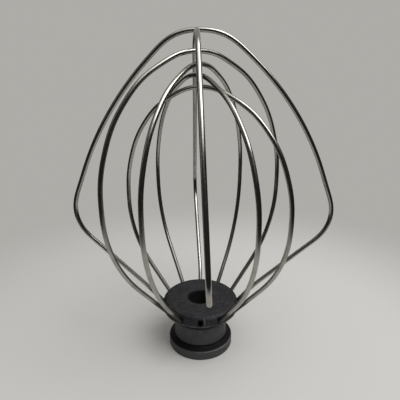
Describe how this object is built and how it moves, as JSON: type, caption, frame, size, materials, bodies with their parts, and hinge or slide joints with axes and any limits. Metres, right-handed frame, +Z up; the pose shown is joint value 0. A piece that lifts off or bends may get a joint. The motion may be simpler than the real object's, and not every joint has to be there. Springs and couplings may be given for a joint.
{
  "type": "stand mixer wire whisk",
  "caption": "Stand mixer whisk: bent steel wire loops seated in a dark turned hub with a bayonet shaft bore; one loop's front arm has broken off at its shoulder.",
  "frame": {"origin": "centre of the shaft bore on the hub's base plane, where the standing whisk meets the table", "axes": "+Z up the shaft axis to the crowns of the loops, -Y to the side where the loose loop's broken end is, X across the shoulder loop"},
  "size_m": [0.1303, 0.1345, 0.1621],
  "materials": {
    "hub_metal": "dark oxidised, matte",
    "wire_steel": "drawn bright wire"
  },
  "bodies": {
    "root": {"hub": "hub_metal", "shoulder_loop": "wire_steel", "tall_loop": "wire_steel", "upper_loop": "wire_steel", "lower_loop": "wire_steel", "short_loop": "wire_steel", "loose_loop": "wire_steel"}
  },
  "joints": []
}
